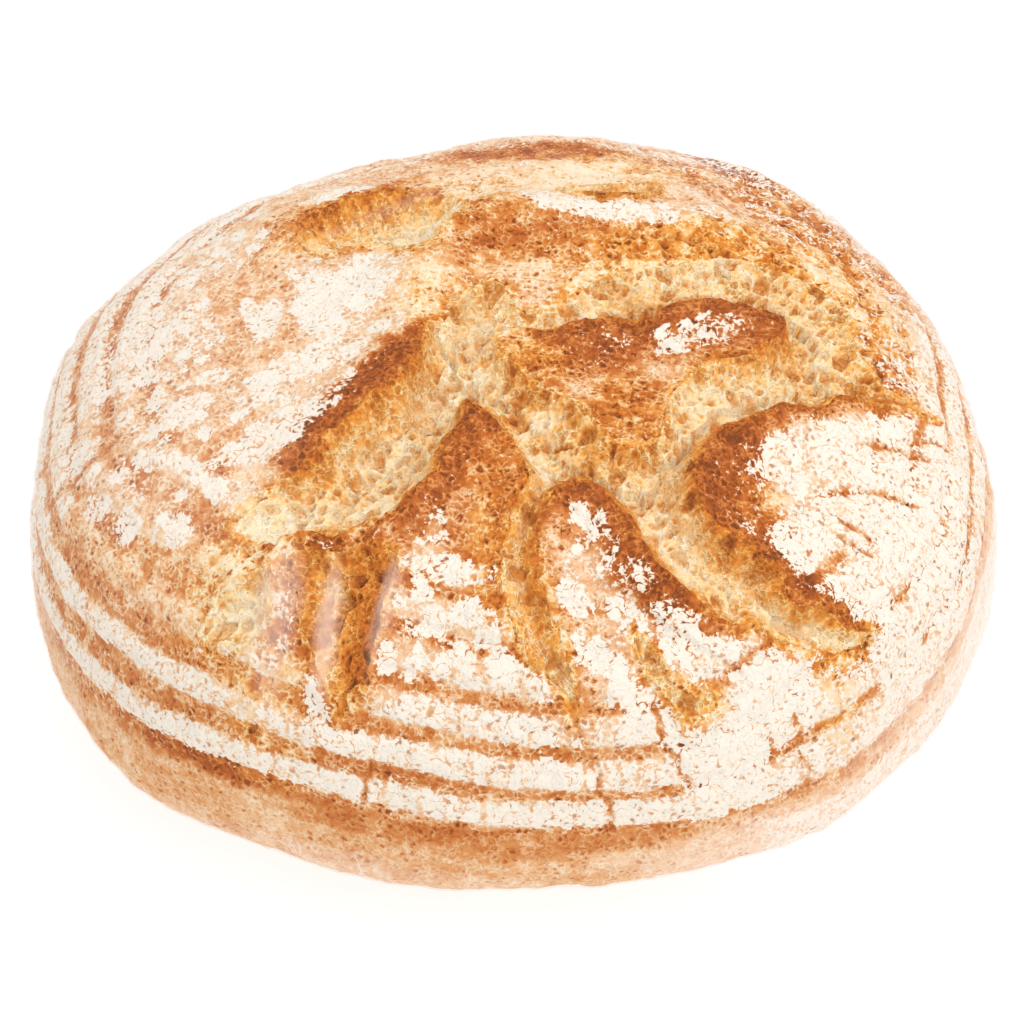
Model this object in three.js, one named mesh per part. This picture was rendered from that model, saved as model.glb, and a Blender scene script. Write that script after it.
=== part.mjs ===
// A round hearth loaf of sourdough in its clear film, as one solid: flat underneath, domed above, ringed by the
// coils of the basket that it rose in, and torn open on top into crust flaps round a rough crumb.
// Millimetres, +Z up, the origin at the middle of the base, -Y the front.
import * as THREE from "three";

// The loaf's main sizes.
const LOAF_WIDTH = 253; // along X
const LOAF_DEPTH = 238; // along Y
const DOME_TOP = 103; // height of the plain dome
const WIDEST_AT = 28; // height of the widest line
const DOME_POWER = 2.9; // superellipse powers: 2 is round, more is squarer
const FOOT_POWER = 2.4;
const FOOT_REACH = 34; // half height of the lower curve, which the flat base cuts off

// Where the loaf is wider or slimmer than a plain oval: [lobes round the loaf, mm, azimuth of a lobe].
const LOBES = [
  [1, 1.0, 0.5],
  [2, 1.4, 0.8],
  [3, 2.1, -0.9],
  [4, 1.7, -0.6],
  [5, 0.8, 0.1],
];

// Slow swells of the crust, which fade out towards the flat base: [mm, waves per metre along X, Y and Z, shift].
const SWELLS = [
  [0.4, 11, 7, 5, 0.4],
  [0.4, -9, 13, 7, 2.1],
  [0.4, 19, 16, -11, 4.0],
];
const SWELL_FADE = 20; // height at which they have their full size

// The basket's rings, which follow the surface down from the dome's top.
const RING_PITCH = 12;
const RING_GROOVE = 1.2; // depth of a groove
const FIRST_RING = 96; // distances from the top, measured along the surface
const LAST_RING = 144;

// The mesh: rings of points 4 mm apart down the dome, three to a basket ring, then wider ones round the foot.
const RING_STEP = RING_PITCH / 3;
const DISC_RINGS = 27; // each has six points more than the one inside it; those below keep its number
const DOME_RINGS = 39;
const FOOT_RINGS = 7;
const FRONT = -Math.PI / 2;
const FRONT_BIAS = 0.35; // how much closer the points stand at the front, where the tears run narrow
const SNAP = 1.7; // points this near to the top or the foot of a tear's wall move onto it

// The tears' edges, each a closed outline of [x, y, lip]. Lip is how far the crust curls up there, from 0 to 1.
const TEARS = {
  opening: [
    // down the lip of the left flap, to its soft left end
    [-22, -5, 0.4], [-24, -15, 0.9], [-30, -29, 1], [-38, -38, 1], [-46, -45, 0.9], [-51, -51, 0.6],
    [-58, -57, 0.1], [-65, -64, 0.1],
    // the bridge of crust at the front left, and up the left side of the front peak
    [-57, -71, 0.2], [-47, -69, 0.4], [-34, -69, 0.4], [-27, -66, 0.5], [-19, -58, 0.8], [-14, -49, 1],
    [-10, -36, 1],
    // down into the front slit, and up its right side to the second peak
    [-5, -39, 0.8], [1, -52, 0.5], [2, -61, 0.4], [-1, -69, 0.3], [-2, -79, 0.2], [-1, -90, 0.2],
    [3, -98, 0.2], [9, -102, 0.2], [15, -106, 0.1], [14, -99, 0.3], [9, -89, 0.4], [6, -77, 0.4],
    [7, -67, 0.7], [14, -60, 1],
    // down the second peak's dark lip to the right corner
    [23, -64, 1], [33, -79, 0.9], [44, -87, 0.6], [60, -89, 0.3], [76, -86, 0.1], [86, -79, 0.1],
    // back along the right flap's underside and up over its shoulder
    [77, -81, 0.7], [64, -81, 0.8], [63, -75, 0.8], [51, -71, 0.9], [42, -61, 1], [44, -51, 1], [54, -40, 1],
    [70, -31, 0.9], [86, -23, 0.7], [105, -17, 0.3],
    // the soft right and back edge of the crumb, and in under the flap behind it
    [92, -13, 0.1], [86, 0, 0], [83, 18, 0], [66, 26, 0], [45, 23, 0], [24, 17, 0], [10, 2, 0.1], [1, 1, 0.1],
    [-4, 12, 0.3], [-12, 8, 0.2], [-16, -5, 0.1],
  ],
  back_left: [
    [-24, 23, 0.2], [-33, 29, 0.2], [-42, 26, 0.2], [-52, 29, 0.2], [-54, 38, 0.5], [-44, 50, 0.6],
    [-27, 53, 0.6], [-11, 45, 0.4], [-16, 33, 0.3],
  ],
  eye: [[12, 49, 0.2], [23, 54, 0.4], [35, 55, 0.5], [38, 50, 0.4], [26, 44, 0.3]],
  front_window: [
    [-49, -76, 0.3], [-38, -74, 0.3], [-27, -77, 0.3], [-29, -87, 0.3], [-35, -101, 0.2], [-41, -101, 0.2],
    [-47, -90, 0.3],
  ],
  side_window: [[-73, -83, 0.1], [-63, -77, 0.3], [-56, -78, 0.3], [-59, -90, 0.2]],
  front_nick: [
    [28, -93, 0.2], [33, -97, 0.2], [36, -100, 0.2], [47, -102, 0.1], [40, -104, 0.2], [33, -102, 0.2],
    [29, -98, 0.2],
  ],
};

// The ridge of crust left standing in the opening: the same kind of outline, with crust inside.
const RIDGE = [
  [-4, -12, 0.3], [4, -7, 0.3], [14, -6, 0.7], [32, -4, 0.9], [44, 1, 1], [60, 2, 1], [67, -3, 0.8],
  [62, -11, 0.4], [48, -18, 0.3], [39, -26, 0.2], [33, -46, 0.1], [25, -46, 0.1], [16, -34, 0.2],
  [6, -27, 0.3],
];

// The crest of the crust flap behind the opening: a rounded fold along [x, y, 0] points.
const CREST = [[-23, 15, 0], [-15, 31, 0], [-2, 43, 0], [28, 42, 0], [50, 37, 0]];
const CREST_RISE = 4.5;
const CREST_REACH = 10;

const LIP_RISE = 4; // height of a full lip over the dome
const LIP_REACH = 11; // how far back from its edge a lip rises
const WALL_DROP = 1.2; // depth of the crumb at the foot of a plain edge
const LIP_DROP = 3.6; // what a full lip adds to that
const WALL = 2 * SNAP; // width of the wall under a lip
const BASIN_DROP = 3.4; // what the crumb sinks further, away from the walls
const BASIN_REACH = 14;

const mix = (a, b, t) => a + (b - a) * t;
const clamp01 = (t) => Math.min(1, Math.max(0, t));
const smooth = (t) => clamp01(t) ** 2 * (3 - 2 * clamp01(t));

// The nearest point of an outline to (x, y): its distance, its lip, and whether (x, y) is inside the outline.
function nearestOn(outline, x, y, closed) {
  const found = { away: Infinity, lip: 0, inside: false };
  for (let i = closed ? 0 : 1; i < outline.length; i++) {
    const [ax, ay, aLip] = outline.at(i - 1);
    const [bx, by, bLip] = outline[i];
    const along = ((x - ax) * (bx - ax) + (y - ay) * (by - ay)) / ((bx - ax) ** 2 + (by - ay) ** 2);
    const t = clamp01(along);
    const away = Math.hypot(x - mix(ax, bx, t), y - mix(ay, by, t));
    if (away < found.away) Object.assign(found, { away, lip: mix(aLip, bLip, t) });
    if (ay > y !== by > y && x < mix(ax, bx, (y - ay) / (by - ay))) found.inside = !found.inside;
  }
  return found;
}

// The nearest edge of the crust: `edge` is positive on crust and negative on bare crumb.
function crustEdge(x, y) {
  let best = { edge: Infinity, lip: 0 };
  for (const outline of Object.values(TEARS)) {
    const { away, lip, inside } = nearestOn(outline, x, y, true);
    const edge = inside ? -away : away;
    if (edge < best.edge) best = { edge, lip };
  }
  const ridge = nearestOn(RIDGE, x, y, true);
  const bare = ridge.inside ? ridge.away : -ridge.away;
  return bare > best.edge ? { edge: bare, lip: ridge.lip } : best;
}

// Height of the surface over the plain dome at plan point (x, y), whose nearest edge of crust is given.
function relief(x, y, { edge, lip }) {
  const fold = nearestOn(CREST, x, y, false).away;
  const crest = CREST_RISE * Math.exp(-((fold / CREST_REACH) ** 2));
  const rise = LIP_RISE * lip * Math.exp(-((edge / LIP_REACH) ** 2));
  if (edge >= 0) return Math.max(crest, rise);
  const foot = WALL_DROP + LIP_DROP * lip + BASIN_DROP * smooth(-edge / BASIN_REACH);
  return mix(LIP_RISE * lip, -foot, smooth(-edge / WALL)) + crest;
}

// Height of the slow swells at a point of the surface.
function swell(x, y, z) {
  const wave = ([size, kx, ky, kz, shift]) => {
    const metres = (kx * x + ky * y + kz * z) / 1000;
    return size * Math.sin(metres * 2 * Math.PI + shift);
  };
  return SWELLS.map(wave).reduce((a, b) => a + b) * smooth(z / SWELL_FADE);
}

// The plain loaf's profile, from the top of the dome to the edge of the base. Each entry has the distance s
// along the surface, the share of the loaf's half width, the height z, and the upward part `up` of the normal.
function profile() {
  const STEPS = 400;
  const fine = [];
  const quarter = (from, to, reach, power) => {
    for (let i = 0; i <= STEPS; i++) {
      const a = mix(from, to, i / STEPS);
      const k = (Math.abs(Math.cos(a)) ** power + Math.abs(Math.sin(a)) ** power) ** (-1 / power);
      fine.push({ share: Math.abs(k * Math.cos(a)), z: WIDEST_AT + k * Math.sin(a) * reach });
    }
  };
  quarter(Math.PI / 2, 0, DOME_TOP - WIDEST_AT, DOME_POWER);
  quarter(0, -Math.PI / 2, FOOT_REACH, FOOT_POWER);
  const above = fine.filter(({ z }) => z > 0);
  let s = 0;
  above.forEach((point, i) => {
    const before = above[Math.max(0, i - 1)];
    const after = above[Math.min(above.length - 1, i + 1)];
    s += Math.hypot(((point.share - before.share) * LOAF_WIDTH) / 2, point.z - before.z);
    const run = ((after.share - before.share) * LOAF_WIDTH) / 2;
    Object.assign(point, { s, up: run / Math.hypot(run, before.z - after.z) });
  });
  return above;
}

// The entries of the profile that the mesh's rings follow.
function ringHeights() {
  const line = profile();
  const end = line.at(-1).s;
  const domeEnd = DOME_RINGS * RING_STEP;
  const distances = Array.from({ length: DOME_RINGS + 1 }, (_, i) => i * RING_STEP);
  for (let i = 1; i <= FOOT_RINGS; i++) distances.push(mix(domeEnd, end, i / FOOT_RINGS));
  const rings = distances.map((s) => ({ ...(line.find((point) => point.s >= s) ?? line.at(-1)), s }));
  Object.assign(rings[0], { share: 0, up: 1 });
  Object.assign(rings.at(-1), { z: 0, up: 0 });
  return rings;
}

// Depth of the basket's groove at distance s from the top, faded out beside the tears.
function groove(s, edge) {
  const inGroove = Math.abs(s / RING_PITCH - Math.round(s / RING_PITCH)) < 0.1;
  const inRange = s > FIRST_RING - 1 && s < LAST_RING + 1;
  return inGroove && inRange ? RING_GROOVE * clamp01(edge / 4) : 0;
}

// The loaf's surface point on a ring at an azimuth: the plain loaf's, moved along its normal by the relief.
function surfacePoint(ring, azimuth) {
  const halfWidth = LOAF_WIDTH / 2;
  const halfDepth = LOAF_DEPTH / 2;
  const lobe = LOBES.reduce((sum, [lobes, size, at]) => sum + size * Math.cos(lobes * (azimuth - at)), 0);
  const reach = ring.share * (1 + lobe / halfWidth);
  let x = halfWidth * reach * Math.cos(azimuth);
  let y = halfDepth * reach * Math.sin(azimuth);
  let out = swell(x, y, ring.z);
  if (ring.z > WIDEST_AT) {
    let nearest = crustEdge(x, y);
    const off = nearest.edge > -SNAP ? nearest.edge : nearest.edge + WALL;
    if (Math.abs(off) < SNAP) {
      const slope = new THREE.Vector2(crustEdge(x + 0.05, y).edge, crustEdge(x, y + 0.05).edge);
      slope.subScalar(nearest.edge).normalize();
      x -= slope.x * off;
      y -= slope.y * off;
      nearest = crustEdge(x, y);
    }
    out += relief(x, y, nearest) - groove(ring.s, nearest.edge);
  }
  const sideways = out * Math.sqrt(1 - ring.up ** 2);
  const point = new THREE.Vector3(x, y, ring.z);
  return point.add(new THREE.Vector3(sideways * Math.cos(azimuth), sideways * Math.sin(azimuth), out * ring.up));
}

// The closed mesh: a disc of six wedges over the top, straight columns down the side, and a flat base.
function loafGeometry() {
  const rings = ringHeights();
  const columns = (i) => 6 * Math.min(i, DISC_RINGS);
  const points = [surfacePoint(rings[0], 0)];
  const starts = [0];
  for (let i = 1; i < rings.length; i++) {
    starts.push(points.length);
    for (let j = 0; j < columns(i); j++) {
      const turn = (j / columns(i)) * 2 * Math.PI;
      points.push(surfacePoint(rings[i], turn - FRONT_BIAS * Math.sin(turn - FRONT)));
    }
  }
  const faces = [];
  const at = (i, j) => starts[i] + (i === 0 ? 0 : j % columns(i));
  for (let i = 1; i < rings.length; i++) {
    const sides = i <= DISC_RINGS ? 6 : 1; // each wedge's ring has one point more than the one inside it
    const outer = columns(i) / sides;
    const inner = columns(i - 1) / sides;
    for (let k = 0; k < sides; k++) {
      for (let j = 0; j < outer; j++) {
        const near = k * inner + j;
        const far = k * outer + j;
        faces.push(at(i - 1, near), at(i, far), at(i, far + 1));
        if (j < inner) faces.push(at(i - 1, near), at(i, far + 1), at(i - 1, near + 1));
      }
    }
  }
  const last = rings.length - 1;
  const middle = points.length;
  points.push(new THREE.Vector3(0, 0, 0));
  for (let j = 0; j < columns(last); j++) faces.push(middle, at(last, j + 1), at(last, j));
  const geometry = new THREE.BufferGeometry().setFromPoints(points);
  geometry.setIndex(faces);
  geometry.computeBoundingBox();
  const extent = geometry.boundingBox.getCenter(new THREE.Vector3());
  geometry.translate(-extent.x, -extent.y, 0); // the origin is the middle of the loaf's whole extent
  geometry.computeVertexNormals();
  return geometry;
}

const crust = new THREE.MeshStandardMaterial({ color: 0xc98243, roughness: 0.75, metalness: 0 });
const loaf = new THREE.Mesh(loafGeometry(), crust);
loaf.name = "wrapped_loaf";

const group = new THREE.Group();
group.add(loaf);

export default group;
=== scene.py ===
"""A round hearth loaf of sourdough in its clear film: the crust, the crumb where it tore, and the film.

The file follows the loaf as it is made. Sizes are in millimetres, and become metres where a mesh is built."""

import bmesh
import bpy
import numpy as np
from mathutils import Euler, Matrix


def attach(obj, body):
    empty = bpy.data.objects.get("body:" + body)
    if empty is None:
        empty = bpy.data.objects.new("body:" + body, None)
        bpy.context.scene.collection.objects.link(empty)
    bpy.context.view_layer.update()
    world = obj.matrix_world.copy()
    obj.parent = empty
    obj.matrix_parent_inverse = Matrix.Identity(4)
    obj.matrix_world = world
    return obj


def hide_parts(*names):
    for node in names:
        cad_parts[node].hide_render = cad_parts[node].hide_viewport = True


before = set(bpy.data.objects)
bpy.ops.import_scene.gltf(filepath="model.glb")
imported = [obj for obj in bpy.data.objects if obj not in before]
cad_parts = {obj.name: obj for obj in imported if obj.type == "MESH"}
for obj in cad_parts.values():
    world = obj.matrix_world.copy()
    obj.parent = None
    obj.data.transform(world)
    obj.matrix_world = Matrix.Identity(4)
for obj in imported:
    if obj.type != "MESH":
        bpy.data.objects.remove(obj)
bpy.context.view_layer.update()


# ---------------------------------------------------------------------------------------------------------
# The camera: it stands in front of the loaf and looks down on it at about forty degrees, as over a bakery
# counter.
# ---------------------------------------------------------------------------------------------------------
CAMERA_PLACE = (-0.0001, -0.5966, 0.5853)
CAMERA_TILT = 42.75  # degrees below the level
CAMERA_LENS = 108.8  # on a sensor 36 mm wide

camera = bpy.data.objects.new("camera", bpy.data.cameras.new("camera"))
camera.data.lens = CAMERA_LENS
camera.location = CAMERA_PLACE
camera.rotation_euler = Euler((np.radians(90 - CAMERA_TILT), 0, 0))
bpy.context.scene.collection.objects.link(camera)
bpy.context.scene.camera = camera


# ---------------------------------------------------------------------------------------------------------
# The crust: one skin of baked dough round the whole loaf. It rose in a floured cane basket, whose coils left
# rings of flour, and in the oven it tore open on top into curled flaps. Only the skin is made here: in the
# tears it dips under the crumb, which is the next piece.
# ---------------------------------------------------------------------------------------------------------
MM = 0.001

# The plain loaf, as in the frame.
HALF_WIDTH = 126.5
HALF_DEPTH = 119.0
DOME_TOP = 103.0
WIDEST_AT = 28.0
DOME_POWER = 2.9
FOOT_POWER = 2.4
FOOT_REACH = 34.0
PROFILE_POINTS = 1601
LOBES = [[1, 1.0, 0.5], [2, 1.4, 0.8], [3, 2.1, -0.9], [4, 1.7, -0.6], [5, 0.8, 0.1]]  # count, mm, azimuth
SWELLS = [[0.4, 11, 7, 5, 0.4], [0.4, -9, 13, 7, 2.1], [0.4, 19, 16, -11, 4.0]]  # mm, waves per metre, shift
SWELL_FADE = 20.0
CENTRE = np.array([0.14, 2.09, 0.0])  # middle of the loaf's extent, which the frame has its origin under
UNDER_FILM = 0.6  # how far the crust lies in from the plain loaf, which is the film's

# The tears' edges, each a closed outline of [x, y, lip]. Lip is how far the crust curls up, from 0 to 1.
TEARS = [
    [
        # down the lip of the left flap to its soft left end, and over the bridge of crust at the front left
        [-22, -5, 0.4], [-24, -15, 0.9], [-30, -29, 1], [-38, -38, 1], [-46, -45, 0.9], [-51, -51, 0.6],
        [-58, -57, 0.1], [-65, -64, 0.1], [-57, -71, 0.2], [-47, -69, 0.4], [-34, -69, 0.4], [-27, -66, 0.5],
        # round the front peak, the slit beside it and the second peak
        [-19, -58, 0.8], [-14, -49, 1], [-10, -36, 1], [-5, -39, 0.8], [1, -52, 0.5], [2, -61, 0.4],
        [-1, -69, 0.3], [-2, -79, 0.2], [-1, -90, 0.2], [3, -98, 0.2], [9, -102, 0.2], [15, -106, 0.1],
        [14, -99, 0.3], [9, -89, 0.4], [6, -77, 0.4], [7, -67, 0.7], [14, -60, 1],
        # to the right corner, and back under the right flap and over its shoulder
        [23, -64, 1], [33, -79, 0.9], [44, -87, 0.6], [60, -89, 0.3], [76, -86, 0.1], [86, -79, 0.1],
        [77, -81, 0.7], [64, -81, 0.8], [63, -75, 0.8], [51, -71, 0.9], [42, -61, 1], [44, -51, 1],
        [54, -40, 1], [70, -31, 0.9], [86, -23, 0.7], [105, -17, 0.3],
        # the soft right and back edge of the crumb, and in under the flap behind it
        [92, -13, 0.1], [86, 0, 0], [83, 18, 0], [66, 26, 0], [45, 23, 0], [24, 17, 0], [10, 2, 0.1],
        [1, 1, 0.1], [-4, 12, 0.3], [-12, 8, 0.2], [-16, -5, 0.1],
    ],
    [
        [-24, 23, 0.2], [-33, 29, 0.2], [-42, 26, 0.2], [-52, 29, 0.2], [-54, 38, 0.5], [-44, 50, 0.6],
        [-27, 53, 0.6], [-11, 45, 0.4], [-16, 33, 0.3],
    ],
    [[12, 49, 0.2], [23, 54, 0.4], [35, 55, 0.5], [38, 50, 0.4], [26, 44, 0.3]],
    [
        [-49, -76, 0.3], [-38, -74, 0.3], [-27, -77, 0.3], [-29, -87, 0.3], [-35, -101, 0.2],
        [-41, -101, 0.2], [-47, -90, 0.3],
    ],
    [[-73, -83, 0.1], [-63, -77, 0.3], [-56, -78, 0.3], [-59, -90, 0.2]],
    [
        [28, -93, 0.2], [33, -97, 0.2], [36, -100, 0.2], [47, -102, 0.1], [40, -104, 0.2], [33, -102, 0.2],
        [29, -98, 0.2],
    ],
]
RIDGE = [  # crust that is left standing in the opening
    [-4, -12, 0.3], [4, -7, 0.3], [14, -6, 0.7], [32, -4, 0.9], [44, 1, 1], [60, 2, 1], [67, -3, 0.8],
    [62, -11, 0.4], [48, -18, 0.3], [39, -26, 0.2], [33, -46, 0.1], [25, -46, 0.1], [16, -34, 0.2],
    [6, -27, 0.3],
]
CREST = [[-23, 15, 0], [-15, 31, 0], [-2, 43, 0], [28, 42, 0], [50, 37, 0]]  # a rounded fold behind the tear
CREST_RISE = 4.5
CREST_REACH = 10.0
LIP_RISE = 4.0
LIP_REACH = 11.0
WALL_DROP = 1.2  # from the crust's edge down to the crumb, and LIP_DROP more below a full lip
LIP_DROP = 3.6
WALL = 3.4  # how wide the wall below the edge is in plan, and wider by the share LIP_WALL below a full lip
LIP_WALL = 0.8
BASIN_DROP = 3.4  # how much deeper the crumb lies in the middle of a wide tear
BASIN_REACH = 14.0
TEAR_WANDER = [[1.5, 8.0, 11, 61], [0.8, 2.6, 12, 62]]  # how far a tear strays: mm, size of a bend, seeds
SIDE_STEPS = 4  # points to a side of an outline once it is rounded
LATTICE = 32  # random numbers along a side of a noise's lattice


def smooth(t):
    """3t^2 - 2t^3, held between 0 and 1."""
    t = np.clip(t, 0, 1)
    return t * t * (3 - 2 * t)


def noise(points, size, seed):
    """Noise from -1 to 1: random numbers on a lattice `size` apart, blended by 6t^5 - 15t^4 + 10t^3."""
    lattice = np.random.default_rng(seed).uniform(-1, 1, (LATTICE, LATTICE, LATTICE))
    cell = np.floor(points / size).astype(int)
    t = points / size - cell
    t = t**3 * (t * (6 * t - 15) + 10)
    total = 0
    for corner in np.ndindex(2, 2, 2):
        i, j, k = np.moveaxis((cell + corner) % LATTICE, -1, 0)
        total = total + np.prod(np.where(corner, t, 1 - t), axis=-1) * lattice[i, j, k]
    return total


def noises(points, rows):
    """The sum of some noises, each a row of [how much, size, seed]."""
    return sum(much * noise(points, size, seed) for much, size, seed in rows)


def plan(x, y):
    """The plan points (x, y, 0)."""
    return np.stack([x, y, np.zeros_like(x)], -1)


def rounded(outline):
    """The outline closed to a smooth line through its points (a Catmull-Rom spline)."""
    p = np.array(outline, float)
    before, after, beyond = np.roll(p, 1, 0), np.roll(p, -1, 0), np.roll(p, -2, 0)
    t = (np.arange(SIDE_STEPS) / SIDE_STEPS)[:, None, None]
    bend = (2 * before - 5 * p + 4 * after - beyond) * t**2 + (3 * p - before - 3 * after + beyond) * t**3
    line = ((2 * p + (after - before) * t + bend) / 2).swapaxes(0, 1).reshape(-1, p.shape[1])
    return np.concatenate([line, line[:1]])


def nearest_on(line, x, y):
    """Distance to a line of [x, y, lip], and at its nearest point the lip and the way along the line."""
    away, lip, along = np.full(x.shape, np.inf), np.zeros(x.shape), np.zeros(x.shape)
    passed = 0.0
    for a, b in zip(np.asarray(line, float)[:-1], np.asarray(line, float)[1:]):
        run, rise = b[0] - a[0], b[1] - a[1]
        side = np.hypot(run, rise)
        t = np.clip(((x - a[0]) * run + (y - a[1]) * rise) / side**2, 0, 1)
        here = np.hypot(x - a[0] - run * t, y - a[1] - rise * t)
        nearer = here < away
        away = np.where(nearer, here, away)
        lip = np.where(nearer, a[2] + (b[2] - a[2]) * t, lip)
        along = np.where(nearer, passed + side * t, along)
        passed += side
    return away, lip, along


def inside(line, x, y):
    """Whether plan points lie in a closed line, by how often it crosses the level to their right."""
    within = np.zeros(x.shape, bool)
    for a, b in zip(line[:-1], line[1:]):
        if a[1] != b[1]:
            within ^= ((a[1] > y) != (b[1] > y)) & (x < a[0] + (b[0] - a[0]) * (y - a[1]) / (b[1] - a[1]))
    return within


tear_lines = [rounded(outline) for outline in TEARS]
ridge_line = rounded(RIDGE)


def crust_edge(x, y):
    """Distance to the crust's nearest edge, the lip there, and the way along that edge.

    It is positive on crust and negative on crumb. Plan points wander first, so that edges are ragged."""
    for size, bend, seed_x, seed_y in TEAR_WANDER:
        x, y = x + size * noise(plan(x, y), bend, seed_x), y + size * noise(plan(x, y), bend, seed_y)
    edge, lip, along = np.full(x.shape, np.inf), np.zeros(x.shape), np.zeros(x.shape)
    for line in tear_lines:
        away, its_lip, its_along = nearest_on(line, x, y)
        signed = np.where(inside(line, x, y), -away, away)
        nearer = signed < edge
        edge, lip = np.where(nearer, signed, edge), np.where(nearer, its_lip, lip)
        along = np.where(nearer, its_along, along)
    away, its_lip, its_along = nearest_on(ridge_line, x, y)
    signed = np.where(inside(ridge_line, x, y), away, -away)
    nearer = signed > edge
    return np.where(nearer, signed, edge), np.where(nearer, its_lip, lip), np.where(nearer, its_along, along)


def relief(x, y, edge, lip):
    """Height over the plain dome: lips and the crest on the crust, a wall and a basin on the crumb."""
    crest = CREST_RISE * np.exp(-((nearest_on(CREST, x, y)[0] / CREST_REACH) ** 2))
    rise = LIP_RISE * lip * np.exp(-((edge / LIP_REACH) ** 2))
    foot = WALL_DROP + LIP_DROP * lip + BASIN_DROP * smooth(-edge / BASIN_REACH)
    drop = smooth(-edge / (WALL * (1 + LIP_WALL * lip)))
    return np.where(edge >= 0, np.maximum(crest, rise), LIP_RISE * lip * (1 - drop) - foot * drop + crest)


def lobe_at(azimuth):
    """How much wider than an oval the loaf is at an azimuth."""
    return sum(size * np.cos(count * (azimuth - at)) for count, size, at in LOBES)


def swell(x, y, z):
    """Height of the slow swells of the crust."""
    waves = 0
    for size, kx, ky, kz, at in SWELLS:
        waves = waves + size * np.sin((kx * x + ky * y + kz * z) * 2 * np.pi * MM + at)
    return waves * smooth(z / SWELL_FADE)


def profile():
    """The plain loaf from its top to its base: the way s along it, share of the half width, height, and up.

    Two quarters of a superellipse, of DOME_POWER above the widest line and FOOT_POWER below it, cut off at
    z = 0. Up is the upward part of the surface's normal."""
    a = np.linspace(np.pi / 2, -np.pi / 2, PROFILE_POINTS)
    power = np.where(a >= 0, DOME_POWER, FOOT_POWER)
    reach = np.where(a >= 0, DOME_TOP - WIDEST_AT, FOOT_REACH)
    k = (np.abs(np.cos(a)) ** power + np.abs(np.sin(a)) ** power) ** (-1 / power)
    share, z = np.abs(k * np.cos(a)), WIDEST_AT + k * np.sin(a) * reach
    share, z = share[z > 0], z[z > 0]
    way = np.cumsum(np.hypot(np.diff(share, prepend=share[0]) * HALF_WIDTH, np.diff(z, prepend=z[0])))
    run, fall = np.gradient(share) * HALF_WIDTH, -np.gradient(z)
    return way, share, z, run / np.hypot(run, fall)


way, way_share, way_z, way_up = profile()
SURFACE_END = way[-1]


def plain_loaf(s, azimuth):
    """The plain loaf's plan point, height and upward share of its normal, at the way s from its top."""
    share, z, up = (np.interp(s, way, values) for values in (way_share, way_z, way_up))
    reach = share * (1 + lobe_at(azimuth) / HALF_WIDTH)
    up = np.where(s <= 0, 1.0, up)
    return HALF_WIDTH * reach * np.cos(azimuth), HALF_DEPTH * reach * np.sin(azimuth), z, up


def moved(x, y, z, up, azimuth, out):
    """Points of the plain loaf moved along its normal, whose level part points along the azimuth."""
    sideways = out * np.sqrt(1 - up**2)
    return np.stack([x + sideways * np.cos(azimuth), y + sideways * np.sin(azimuth), z + out * up], -1)


def above(x, y):
    """The way s and the azimuth at which the plain loaf's upper side passes over a plan point."""
    azimuth = np.arctan2(y / HALF_DEPTH, x / HALF_WIDTH)
    share = np.hypot(x / HALF_WIDTH, y / HALF_DEPTH) / (1 + lobe_at(azimuth) / HALF_WIDTH)
    upper = way_z >= WIDEST_AT
    return np.interp(share, way_share[upper], way[upper]), azimuth


# Places where the crust is darker than the rest: [x, y, half length, half width, turn in degrees, amount].
SCORCH = [
    # the front peak and the second one, the right flap's shoulder, and the ridge
    [-9, -45, 14, 8, 95, 0.5], [-18, -60, 14, 5, 55, 0.42], [-1, -60, 15, 7, 100, 0.32],
    [-8, -70, 14, 10, 90, 0.15], [22, -69, 15, 7, -55, 0.45], [33, -84, 12, 5, -50, 0.42],
    [51, -54, 14, 8, 80, 0.85], [57, -67, 13, 7, -40, 0.38], [72, -78, 10, 4, -25, 0.45],
    [18, -14, 17, 9, 12, 0.4], [46, -8, 24, 9, 10, 0.38], [27, -33, 14, 8, 90, 0.38],
    # the crest and the back, the bridge at the front left, and the left flap's lip
    [-5, 33, 14, 10, 60, 0.38], [12, 29, 24, 8, -8, 0.36], [40, 29, 18, 6, 0, 0.32], [62, 33, 14, 7, 0, 0.25],
    [-62, 36, 9, 4, 50, 0.25], [-42, 46, 14, 5, 35, 0.3], [61, 80, 18, 6, -45, 0.5], [5, 79, 26, 7, 0, 0.4],
    [74, 54, 26, 12, -45, 0.3], [88, 22, 24, 9, -60, 0.14], [46, 72, 20, 8, -15, 0.2],
    [-36, -96, 5, 7, 90, 0.25], [-40, -72, 16, 3, -2, 0.3], [-52, -82, 8, 3, 80, 0.2],
    [92, -8, 12, 6, 60, 0.25], [-38, -31, 26, 4.5, 54, 0.7],
]
# The same low down on the side: [azimuth in degrees, way s, half width in degrees, half height, amount].
SIDE_SCORCH = [
    [-130, 153, 6, 4.5, 0.28], [-121, 153, 7, 4, 0.24], [-104, 160, 12, 3, 0.25], [-84, 164, 12, 3, 0.2],
]
BAKED = 0.28  # how dark the crust is where nothing else bears on it, from 0 pale to 1 nearly black
BAKED_MOST = 0.6  # above this the darkness grows ever more slowly, by at most BAKED_SPAN
BAKED_SPAN = 0.28
EDGE_BAKED = 0.24  # how dark dough is far down in a tear

# Where crust and crumb are paler: the same six values as for SCORCH.
PALE = [
    [-20, 42, 24, 12, 20, 0.15], [22, 54, 18, 8, 0, 0.3], [-64, -82, 12, 9, 0, 0.25],
    [-60, -68, 14, 8, 20, 0.2],
]
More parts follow.
